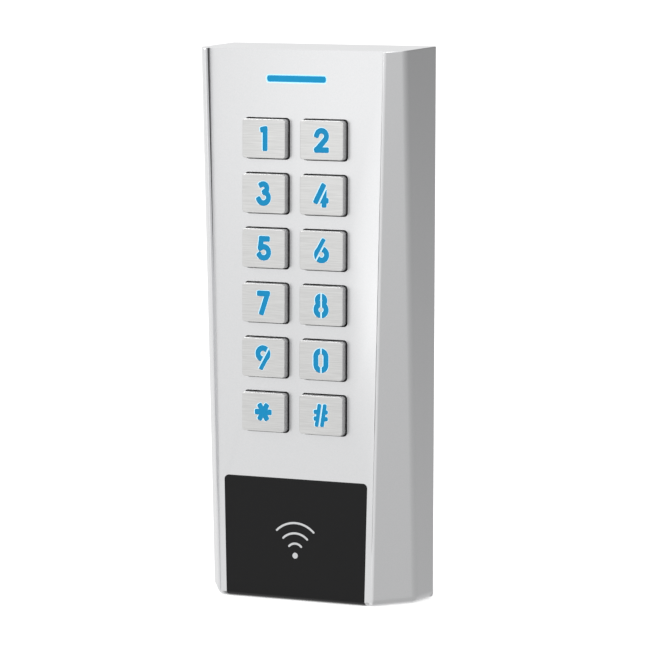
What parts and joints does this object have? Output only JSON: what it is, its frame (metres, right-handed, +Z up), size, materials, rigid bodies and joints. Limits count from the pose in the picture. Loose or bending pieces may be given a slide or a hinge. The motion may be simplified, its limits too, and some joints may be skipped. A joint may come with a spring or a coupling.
{
  "type": "keypad access reader",
  "caption": "Slim wall-mounted access keypad in a tapered cast-metal case, with sprung backlit metal keys, a status light bar and a black card reader window.",
  "frame": {"origin": "middle of the wall plate's back face, on the wall", "axes": "+Z up, +Y into the wall, the keypad faces -Y, +X to the right for a person facing it"},
  "size_m": [0.061, 0.0242, 0.148],
  "materials": {
    "satin_case": "satin chrome over cast zinc",
    "brushed_keys": "brushed stainless, eased edges",
    "blue_legend": "translucent, backlit blue",
    "bar_lens": "translucent, backlit blue",
    "black_window": "satin black",
    "pale_silicone": "matt silicone",
    "carbon_pills": "matt",
    "green_board": "solder resist over glass fibre",
    "led_body": "clear over ceramic",
    "copper_coil": "enamelled copper wire",
    "chip_black": "moulded epoxy",
    "part_black": "moulded",
    "capacitor_can": "drawn can",
    "ivory_nylon": "moulded nylon",
    "sensor_body": "tinted epoxy",
    "screw_steel": "zinc plated",
    "cover_black": "fine spark texture",
    "red_silicone": "matt silicone",
    "clear_lens": "clear polycarbonate",
    "black_rubber": "matt",
    "plate_steel": "pressed sheet, zinc plated"
  },
  "bodies": {
    "case": {"front_housing": "satin_case", "reader_window": "black_window", "light_bar": "bar_lens", "rubber_mat": "pale_silicone", "contact_pills": "carbon_pills", "main_board": "green_board", "key_leds": "led_body", "status_leds": "led_body", "reader_coil": "copper_coil", "board_chips": "chip_black", "relay": "part_black", "buzzer": "part_black", "capacitors": "capacitor_can", "wire_connector": "ivory_nylon", "tamper_sensor": "sensor_body", "board_screws": "screw_steel", "back_cover": "cover_black", "cover_gasket": "red_silicone", "tamper_lens": "clear_lens", "cover_screws": "screw_steel", "cable_grommet": "black_rubber", "wall_plate": "plate_steel", "lock_screw": "screw_steel"},
    "button_1": {"key_1": "brushed_keys", "light_guide_1": "blue_legend"},
    "button_2": {"key_2": "brushed_keys", "light_guide_2": "blue_legend"},
    "button_3": {"key_3": "brushed_keys", "light_guide_3": "blue_legend"},
    "button_4": {"key_4": "brushed_keys", "light_guide_4": "blue_legend"},
    "button_5": {"key_5": "brushed_keys", "light_guide_5": "blue_legend"},
    "button_6": {"key_6": "brushed_keys", "light_guide_6": "blue_legend"},
    "button_7": {"key_7": "brushed_keys", "light_guide_7": "blue_legend"},
    "button_8": {"key_8": "brushed_keys", "light_guide_8": "blue_legend"},
    "button_9": {"key_9": "brushed_keys", "light_guide_9": "blue_legend"},
    "button_0": {"key_0": "brushed_keys", "light_guide_0": "blue_legend"},
    "button_star": {"key_star": "brushed_keys", "light_guide_star": "blue_legend"},
    "button_hash": {"key_hash": "brushed_keys", "light_guide_hash": "blue_legend"}
  },
  "joints": [
    {"name": "press_1", "type": "slide", "parent": "case", "child": "button_1", "axis": [0, 1, 0], "range_m": [0, 0.0008], "stiffness_N_per_m": 1200, "springref_m": -0.0005},
    {"name": "press_2", "type": "slide", "parent": "case", "child": "button_2", "axis": [0, 1, 0], "range_m": [0, 0.0008], "stiffness_N_per_m": 1200, "springref_m": -0.0005},
    {"name": "press_3", "type": "slide", "parent": "case", "child": "button_3", "axis": [0, 1, 0], "range_m": [0, 0.0008], "stiffness_N_per_m": 1200, "springref_m": -0.0005},
    {"name": "press_4", "type": "slide", "parent": "case", "child": "button_4", "axis": [0, 1, 0], "range_m": [0, 0.0008], "stiffness_N_per_m": 1200, "springref_m": -0.0005},
    {"name": "press_5", "type": "slide", "parent": "case", "child": "button_5", "axis": [0, 1, 0], "range_m": [0, 0.0008], "stiffness_N_per_m": 1200, "springref_m": -0.0005},
    {"name": "press_6", "type": "slide", "parent": "case", "child": "button_6", "axis": [0, 1, 0], "range_m": [0, 0.0008], "stiffness_N_per_m": 1200, "springref_m": -0.0005},
    {"name": "press_7", "type": "slide", "parent": "case", "child": "button_7", "axis": [0, 1, 0], "range_m": [0, 0.0008], "stiffness_N_per_m": 1200, "springref_m": -0.0005},
    {"name": "press_8", "type": "slide", "parent": "case", "child": "button_8", "axis": [0, 1, 0], "range_m": [0, 0.0008], "stiffness_N_per_m": 1200, "springref_m": -0.0005},
    {"name": "press_9", "type": "slide", "parent": "case", "child": "button_9", "axis": [0, 1, 0], "range_m": [0, 0.0008], "stiffness_N_per_m": 1200, "springref_m": -0.0005},
    {"name": "press_0", "type": "slide", "parent": "case", "child": "button_0", "axis": [0, 1, 0], "range_m": [0, 0.0008], "stiffness_N_per_m": 1200, "springref_m": -0.0005},
    {"name": "press_star", "type": "slide", "parent": "case", "child": "button_star", "axis": [0, 1, 0], "range_m": [0, 0.0008], "stiffness_N_per_m": 1200, "springref_m": -0.0005},
    {"name": "press_hash", "type": "slide", "parent": "case", "child": "button_hash", "axis": [0, 1, 0], "range_m": [0, 0.0008], "stiffness_N_per_m": 1200, "springref_m": -0.0005}
  ]
}
